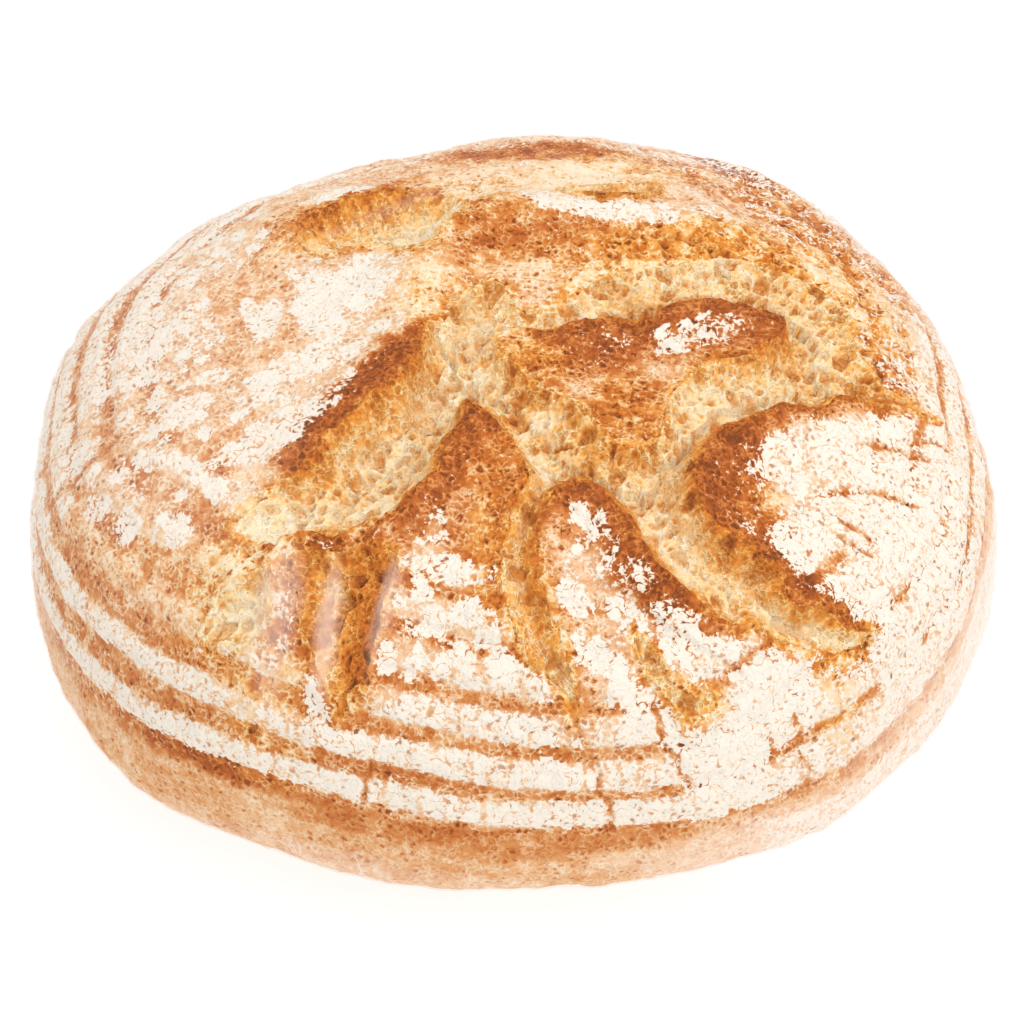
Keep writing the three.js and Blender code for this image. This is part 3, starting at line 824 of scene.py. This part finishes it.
# Flour lies on the bumps and on the threads: it covers where there is much, and is specks where there is
# little. The foot, where there is none at all, was pressed smooth.
FLOUR_WHITE = rgb(246, 237, 223)
FLOUR_THIN = rgb(246, 218, 188)
CRUST_GRAIN = 1.1
CRUST_OPEN = 0.26
crust_finish, tree, shader, coords = finish("crust_finish")
skin = place(tree, dough_skin, Vector=coords, Size=CRUST_GRAIN * MM, Open=CRUST_OPEN)
bumps, threads, pits = (skin.outputs[name] for name in ("Bumps", "Threads", "Pits"))
mottle = centred(tree, add(tree, "TexNoise", Vector=coords, Scale=230.0, Detail=1.0).outputs["Fac"])
cracked = step(tree, maths(tree, "ABSOLUTE", mottle), 0.02, 0.005)
floured = attribute(tree, "flour")
grainy = more(tree, step(tree, floured, -0.1, 0.02), 0.4, 0.6)
# The grain's level: paler on the bumps and threads, partly their own tone and partly painted light on what
# stands up, and darker in the pits, which is painted shade.
grain = more(tree, centred(tree, bumps), -0.6, times(tree, mottle, 0.6))
grain = more(tree, threads, -0.26, more(tree, pits, 0.4, grain))
grain = more(tree, cracked, 0.15, grain)
level = more(tree, grain, grainy, attribute(tree, "darkness"))
level = more(tree, attribute(tree, "thread"), -0.2, level)
dough = place(tree, baked_dough, Level=level, Torn=attribute(tree, "torn"), Pore=attribute(tree, "pore"))
veil = times(tree, step(tree, floured, 0.15, 0.6), 0.4)
veil = times(tree, veil, step(tree, attribute(tree, "darkness"), 0.5, 0.3))
dough = blend(tree, veil, dough.outputs["Color"], FLOUR_THIN)
laid = more(tree, centred(tree, bumps), 1.5, floured)
laid = more(tree, mottle, 0.6, laid)
laid = more(tree, centred(tree, threads), 0.25, laid)
laid = more(tree, pits, -0.36, laid)
laid = more(tree, cracked, -0.35, laid)
cover = step(tree, laid, 0.42, 0.58)
powder = blend(tree, step(tree, laid, 0.5, 0.8), FLOUR_THIN, FLOUR_WHITE)
tree.links.new(blend(tree, cover, dough, powder), shader.inputs["Base Color"])
height = more(tree, threads, 0.5, more(tree, cover, 0.15, more(tree, pits, -0.6, bumps)))
bump = add(tree, "Bump", Height=height, Distance=0.3 * MM, Strength=0.8)
tree.links.new(bump.outputs[0], shader.inputs["Normal"])
shader.inputs["Roughness"].default_value = 0.75
shader.inputs["Specular IOR Level"].default_value = 0.15
crust.data.materials.append(crust_finish)
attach(crust, "root")
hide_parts("wrapped_loaf")


# ---------------------------------------------------------------------------------------------------------
# The crumb: where the loaf tore, its inside shows as a stretched net of threads round open pores, pale in the
# middle and toasted golden beside the crust. It is one thick sheet that fills the tears and runs in under the
# lips.
# ---------------------------------------------------------------------------------------------------------
CRUMB_STEP = 0.38  # mm between points in plan
CRUMB_MARGIN = 2.2  # how far it runs in under the crust
CRUMB_SKIRT = 14.0  # its thickness
CRUMB_BOX = [-78, 112, -112, 64]  # all tears lie in it: x from and to, y from and to
CRUMB_BELOW = 0.2  # how far it lies below the relief of the frame
MARGIN_BELOW = 0.25  # the same at the crust's edge, and MARGIN_DROP more at the end of the margin
MARGIN_DROP = 2.0
UNEVEN = [[0.8, 13, 36], [0.4, 5, 37]]  # as ROUGH
STRAY_X, STRAY_Y = [[1.4, 6, 31], [0.4, 2.2, 33]], [[1.4, 6, 32], [0.4, 2.2, 34]]  # what bends the pores
TOAST_VARIES = [[0.10, 7, 40], [0.06, 3, 41]]
PORES = [[4.4, 0.35, 1.5, 0.35, 51], [2.6, 0.5, 1.1, 0.35, 52], [1.6, 0.5, 0.6, 0.2, 53]]  # as for webbed()
WALL_PORES = [[3.0, 0.35, 0.9, 0.35, 54], [1.8, 0.5, 0.6, 0.25, 55]]
# Hollows larger than the rest: [x, y, half length, half width, turn in degrees, depth].
HOLLOWS = [
    [-33, -43, 5, 2.5, 60, 1.8], [-20, -27, 9, 3, 78, 2.2], [-24, -48, 6, 1.8, 70, 1.4],
    [-4, 9, 1.6, 1.8, 90, 2.2], [-1, -24, 1.0, 1.4, 0, 3.0], [-8, 1, 6, 4, 80, 1.6],
    [-12, -10, 5, 4, 60, 1.3], [10, -42, 4, 2, 70, 1.4], [26, 12, 6, 3, 10, 1.6],
    [-40, -60, 7, 2.2, 75, 1.4], [-50, -62, 6, 2.2, 72, 1.5], [36, -56, 4, 3, 0, 1.0],
    [33, -52, 2, 6, 80, 1.5], [5, -70, 5, 1.3, 95, 1.6], [-36, 38, 6, 3, 30, 1.4], [66, -85, 4, 2, 0, 1.2],
]
# Where the crumb is toasted apart from beside the crust: the same six values as for SCORCH.
TOASTED = [
    [-5, 8, 7, 6, 0, 0.06], [6, -28, 12, 6, 40, 0.22], [22, -46, 12, 7, 0, 0.25], [28, 14, 26, 5, 0, 0.1],
    [50, -64, 14, 8, -50, 0.06], [82, -12, 16, 10, 0, 0.14], [24, 50, 14, 6, 0, 0.25],
    [-34, -88, 16, 7, 90, 0.5], [-46, -82, 10, 4, 90, 0.35], [-62, -82, 10, 8, 0, 0.15],
    [-40, 42, 16, 9, 20, 0.15], [60, 14, 34, 8, 10, 0.2], [84, 0, 14, 14, 0, 0.16],
    [-48, -54, 9, 7, 0, 0.15], [4, -84, 20, 6, 95, 0.15],
]

lattice_x = np.arange(CRUMB_BOX[0], CRUMB_BOX[1], CRUMB_STEP)
lattice_y = np.arange(CRUMB_BOX[2], CRUMB_BOX[3], CRUMB_STEP)
x, y = np.meshgrid(lattice_x, lattice_y, indexing="ij")
edge, lip, along = crust_edge(x, y)
shown = edge < CRUMB_MARGIN
quads = shown[:-1, :-1] & shown[1:, :-1] & shown[:-1, 1:] & shown[1:, 1:]
numbers = np.arange(x.size).reshape(x.shape)
corners = np.stack([numbers[:-1, :-1], numbers[1:, :-1], numbers[1:, 1:], numbers[:-1, 1:]], -1)[quads]
used, corners = np.unique(corners, return_inverse=True)
corners = corners.reshape(-1, 4)
x, y, edge, lip, along = (values.ravel()[used] for values in (x, y, edge, lip, along))

# On a wall the pores are strewn over (along, edge), so they are drawn out as the wall goes down.
spot = plan(x, y)
stray_x, stray_y = noises(spot, STRAY_X), noises(spot, STRAY_Y)
drawn = 0.6 * smooth((edge + 7 + 2 * noise(spot, 4, 35)) / 1.5) * smooth(lip / 0.4)
flat_web = webbed(x + stray_x, y + stray_y, PORES)
wall_web = webbed(along + stray_x, edge + stray_y, WALL_PORES)
pore, thread, web = (flat + (wall - flat) * drawn for flat, wall in zip(flat_web, wall_web))
hollow = dabs(HOLLOWS, x + stray_x, y + stray_y, 0.35)
inner = smooth((-edge - 0.2) / 1.6)
texture = (web + noises(spot, UNEVEN) - hollow) * inner
out = relief(x, y, np.minimum(edge, 0), lip) + texture - CRUMB_BELOW
tucked = relief(x, y, edge, lip) - MARGIN_BELOW - MARGIN_DROP * smooth(edge / 1.4)
out = np.where(edge >= 0, tucked, out)
s, azimuth = above(x, y)
z, up = plain_loaf(s, azimuth)[2:]
out = out + swell(x, y, z) - UNDER_FILM
top = moved(x, y, z, up, azimuth, out)

# From the rim a skirt goes down inside the crust, and the underside is filled between its points.
sides = np.concatenate([corners[:, [i, (i + 1) % 4]] for i in range(4)])
_, index, uses = np.unique(np.sort(sides, axis=1), axis=0, return_index=True, return_counts=True)
rim = sides[index[uses == 1]]
rim_points, rim_sides = np.unique(rim, return_inverse=True)
rim_sides = rim_sides.reshape(-1, 2)
under = moved(x, y, z, up, azimuth, out - CRUMB_SKIRT)[rim_points]
lower = rim_sides + len(top)
underside = bmesh.new()
verts = [underside.verts.new(point) for point in under]
edges = [underside.edges.new((verts[a], verts[b])) for a, b in rim_sides]
bmesh.ops.triangle_fill(underside, edges=edges, normal=(0, 0, 1), use_beauty=False)
underside.verts.index_update()
filled = np.array([[vert.index for vert in face.verts] for face in underside.faces])
underside.free()
a, b, c = (under[filled[:, i]] for i in range(3))
faces_up = np.cross(b - a, c - a)[:, 2] > 0
filled[faces_up] = filled[faces_up][:, ::-1]
crumb_faces = np.concatenate([
    corners[:, [0, 1, 2]], corners[:, [0, 2, 3]],
    np.stack([rim[:, 1], rim[:, 0], lower[:, 0]], -1), np.stack([rim[:, 1], lower[:, 0], lower[:, 1]], -1),
    filled + len(top),
])

# How far it is toasted, as for the crust.
toast = edge_bake(edge, lip) + noises(spot, TOAST_VARIES) - pale_at(x, y)
toast = toast + dabs(TOASTED, x + 2 * noise(spot, 6, 38), y + 2 * noise(spot, 6, 39), 0.7)
# The hollows take the pores' darker tone too, which is painted shade.
pore = np.maximum(pore, 0.6 * smooth(hollow))
crumb = put_mesh(
    "crumb",
    np.concatenate([top, under]),
    crumb_faces,
    {name: np.concatenate([values, values[rim_points]])
     for name, values in (("darkness", toast), ("pore", pore), ("thread", thread))},
)
print("crumb", len(crumb.data.polygons), "faces", len(filled), "under")

CRUMB_GRAIN = 1.0
CRUMB_OPEN = 0.1
crumb_finish, tree, shader, coords = finish("crumb_finish")
skin = place(tree, dough_skin, Vector=coords, Size=CRUMB_GRAIN * MM, Open=CRUMB_OPEN)
bumps, threads, pits = (skin.outputs[name] for name in ("Bumps", "Threads", "Pits"))
# Paler on the bumps and threads, partly their own tone and partly painted light on what stands up; the pits
# take the pores' darker tone, which is painted shade.
level = more(tree, centred(tree, bumps), -0.5, attribute(tree, "darkness"))
level = more(tree, threads, -0.18, level)
level = more(tree, attribute(tree, "thread"), -0.2, level)
pore = maths(tree, "MAXIMUM", attribute(tree, "pore"), times(tree, pits, 0.5))
dough = place(tree, baked_dough, Level=level, Torn=1.0, Pore=pore)
tree.links.new(dough.outputs["Color"], shader.inputs["Base Color"])
height = more(tree, threads, 0.6, more(tree, pits, -0.5, bumps))
bump = add(tree, "Bump", Height=height, Distance=0.4 * MM, Strength=0.8)
tree.links.new(bump.outputs[0], shader.inputs["Normal"])
shader.inputs["Roughness"].default_value = 0.6
shader.inputs["Specular IOR Level"].default_value = 0.2
crumb.data.materials.append(crumb_finish)
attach(crumb, "root")
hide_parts("wrapped_loaf")


# ---------------------------------------------------------------------------------------------------------
# The film: thin clear wrap, shrunk tight over the loaf. It lies on the crust, spans the tears, and is closed
# underneath. Its whiteness is painted reflection: whiter where it turns away at the sides, in streaks where
# it is drawn into pleats, and in glints along fine creases.
# ---------------------------------------------------------------------------------------------------------
FILM_COLUMNS = 400
FILM_ROWS = 190
FILM_GAP = 0.35  # how far it lies off the crust and the crumb
SHRINK_REACH = [16, 8, 4, 2, 1]  # how many points away the four others are, step by step
SHRINK_STEPS = 60
# Painted reflection: streaks of light where the film is pleated, as [x, y, half length, half width, turn in
# degrees, amount].
PLEAT_GLARE = [
    [-42, -90, 11, 2.2, 82, 0.42], [-29, -88, 10, 1.8, 72, 0.32], [-54, -86, 13, 5, 82, 0.3],
    [-86, -10, 34, 60, 0, 0.1], [66, 84, 26, 4, -48, 0.2], [-20, 50, 40, 3, 35, 0.1],
    [102, 54, 34, 6, -56, 0.3],
]
# The same low down on the side: [azimuth in degrees, way s, half width in degrees, half height, amount].
SIDE_PLEAT_GLARE = [[-15, 158, 34, 16, 0.35], [-55, 172, 22, 8, 0.35], [-112, 178, 24, 7, 0.2]]
# Painted glints along fine creases: the same five values.
CREASE_GLINTS = [
    [-110, 176, 9, 7, 0.9], [-88, 172, 10, 6, 0.8], [-60, 176, 20, 8, 0.5], [-140, 180, 20, 8, 0.4],
    [60, 110, 40, 20, 0.5], [-30, 176, 20, 8, 0.5], [135, 120, 40, 20, 0.4],
]

film_ways = np.linspace(0, SURFACE_END, FILM_ROWS + 1)[1:]
film_turns = np.arange(FILM_COLUMNS) / FILM_COLUMNS * 2 * np.pi - np.pi
film_s, film_azimuth = np.meshgrid(film_ways, film_turns, indexing="ij")
film_degrees = np.degrees(film_azimuth)
x, y, z, up = plain_loaf(film_s, film_azimuth)
edge, lip, _ = crust_edge(x, y)
spot = np.stack([x, y, z], -1)
in_tears = relief(x, y, np.minimum(edge, 0), lip) + swell(x, y, z) - UNDER_FILM
resting = np.where((z > WIDEST_AT) & (edge < 0), in_tears, -np.inf)
for row in range(FILM_ROWS):  # what the film lies on: the nearest ring of the crust, or the crumb over it
    under = ring == np.argmin(np.abs(s_of_ring - film_s[row, 0]))
    on_crust = np.interp(film_azimuth[row], azimuth_of_crust[under], out_of_crust[under], period=2 * np.pi)
    resting[row] = np.maximum(resting[row], on_crust)
height = resting.copy()
normal = moved(0 * x, 0 * y, 0 * z, up, film_azimuth, 1.0)
for far in SHRINK_REACH:  # each point goes towards the middle of four others, first far and then near ones
    for _ in range(SHRINK_STEPS):
        placed = moved(x, y, z, up, film_azimuth, height)
        around = np.roll(placed, far, 1) + np.roll(placed, -far, 1)
        inner_row = np.concatenate([placed[:far], placed[:-far]])
        outer_row = np.concatenate([placed[far:], placed[-far:]])
        middle = (around + inner_row + outer_row) / 4
        height = np.maximum(resting, ((middle - spot) * normal).sum(-1))
height = height + FILM_GAP
film_points = moved(x, y, z, up, film_azimuth, height)
film_points[-1, :, 2] = 0.0
film_points = np.maximum(film_points.reshape(-1, 3), [-np.inf, -np.inf, 0.0])
pleat_glare = dabs(PLEAT_GLARE, x + 0.8 * noise(spot, 6, 63), y, 0.5) * (z > WIDEST_AT)
for dab in SIDE_PLEAT_GLARE:
    pleat_glare = np.maximum(pleat_glare, side_dab(dab, film_degrees, film_s + 2 * noise(spot, 12, 64), 1.4, 0.8))
crease_glints = np.zeros(x.shape)
for dab in CREASE_GLINTS:
    crease_glints = np.maximum(crease_glints, side_dab(dab, film_degrees, film_s, 1.3, 0.8))

i, j = pairs(FILM_ROWS - 1, FILM_COLUMNS)
here, beside = i * FILM_COLUMNS + j, i * FILM_COLUMNS + (j + 1) % FILM_COLUMNS
first = np.arange(FILM_COLUMNS)
last = first + (FILM_ROWS - 1) * FILM_COLUMNS
apex = len(film_points)
film_faces = np.concatenate([
    np.stack([here, here + FILM_COLUMNS, beside + FILM_COLUMNS], -1),
    np.stack([here, beside + FILM_COLUMNS, beside], -1),
    np.stack([np.full(FILM_COLUMNS, apex), first, np.roll(first, -1)], -1),
    np.stack([np.full(FILM_COLUMNS, apex + 1), np.roll(last, -1), last], -1),
])
ends = np.array([[0.0, 0.0, film_points[:FILM_COLUMNS, 2].mean()], [0.0, 0.0, 0.0]])
film = put_mesh(
    "film",
    np.concatenate([film_points, ends]),
    film_faces,
    {"pleat_glare": np.append(pleat_glare.ravel(), [0, 0]), "crease_glints": np.append(crease_glints.ravel(), [0, 0])},
)
print("film", len(film.data.polygons), "faces")

film_finish, tree, shader, coords = finish("film_finish")
# Painted reflection: the film is whiter where it turns away from the camera, and in its painted streaks and
# glints.
rim_glare = step(tree, add(tree, "LayerWeight", Blend=0.3).outputs["Facing"], 0.42, 0.95)
# Painted glints: thin bright scribbles where the film is creased.
glint_scribble = add(tree, "TexNoise", Vector=coords, Scale=70.0, Detail=2.0, Distortion=1.5).outputs["Fac"]
glint_scribble = step(tree, maths(tree, "ABSOLUTE", centred(tree, glint_scribble)), 0.012, 0.002)
alpha = more(tree, rim_glare, 0.42, 0.012)
# Painted streaks of reflected light on the pleats.
alpha = maths(tree, "ADD", alpha, attribute(tree, "pleat_glare"))
alpha = more(tree, glint_scribble, times(tree, attribute(tree, "crease_glints"), 0.5), alpha)
tree.links.new(alpha, shader.inputs["Alpha"])
shader.inputs["Base Color"].default_value = rgb(252, 230, 216)
shader.inputs["Roughness"].default_value = 0.15
film.data.materials.append(film_finish)
film.visible_shadow = False
film.visible_diffuse = False
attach(film, "root")
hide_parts("wrapped_loaf")


# ---------------------------------------------------------------------------------------------------------
# The studio: a white table lit from below, which fades into a white surround, and soft boxes above.
# ---------------------------------------------------------------------------------------------------------
FLOOR_HALF = 6.0  # lengths in this section are in metres
FLOOR_LEVEL = -0.0005
FLOOR_GREY = (0.3, 0.3, 0.3, 1)
FLOOR_GLOW = 0.8
SURROUND = 0.75
SOFT_BOXES = [("key", (0.05, 0.1, 1.25)), ("fill", (0.6, -0.7, 1.0))]
SOFT_BOX_SIDE = 0.8
SOFT_BOX_WATTS = 4.0
AIM = 0.05  # the height that they point at
floor_mesh = bpy.data.meshes.new("floor")
around = [(-1, -1), (1, -1), (1, 1), (-1, 1)]
floor_mesh.from_pydata([(FLOOR_HALF * a, FLOOR_HALF * b, FLOOR_LEVEL) for a, b in around], [], [(0, 1, 2, 3)])
floor = bpy.data.objects.new("floor", floor_mesh)
bpy.context.scene.collection.objects.link(floor)
floor_finish, tree, shader, coords = finish("floor_finish")
shader.inputs["Base Color"].default_value = FLOOR_GREY
shader.inputs["Roughness"].default_value = 0.9
shader.inputs["Emission Color"].default_value = (1, 1, 1, 1)
shader.inputs["Emission Strength"].default_value = FLOOR_GLOW
floor.data.materials.append(floor_finish)

world = bpy.data.worlds.new("surround")
world.use_nodes = True
world.node_tree.nodes["Background"].inputs["Color"].default_value = (1, 1, 1, 1)
world.node_tree.nodes["Background"].inputs["Strength"].default_value = SURROUND
bpy.context.scene.world = world

for name, (at_x, at_y, at_z) in SOFT_BOXES:
    light = bpy.data.lights.new(name, "AREA")
    light.size, light.energy = SOFT_BOX_SIDE, SOFT_BOX_WATTS
    lamp = bpy.data.objects.new(name, light)
    lamp.location = (at_x, at_y, at_z)
    lamp.rotation_euler = Euler((np.arctan2(np.hypot(at_x, at_y), at_z - AIM), 0, np.arctan2(at_x, -at_y)))
    bpy.context.scene.collection.objects.link(lamp)

bpy.context.scene.view_settings.view_transform = "Standard"
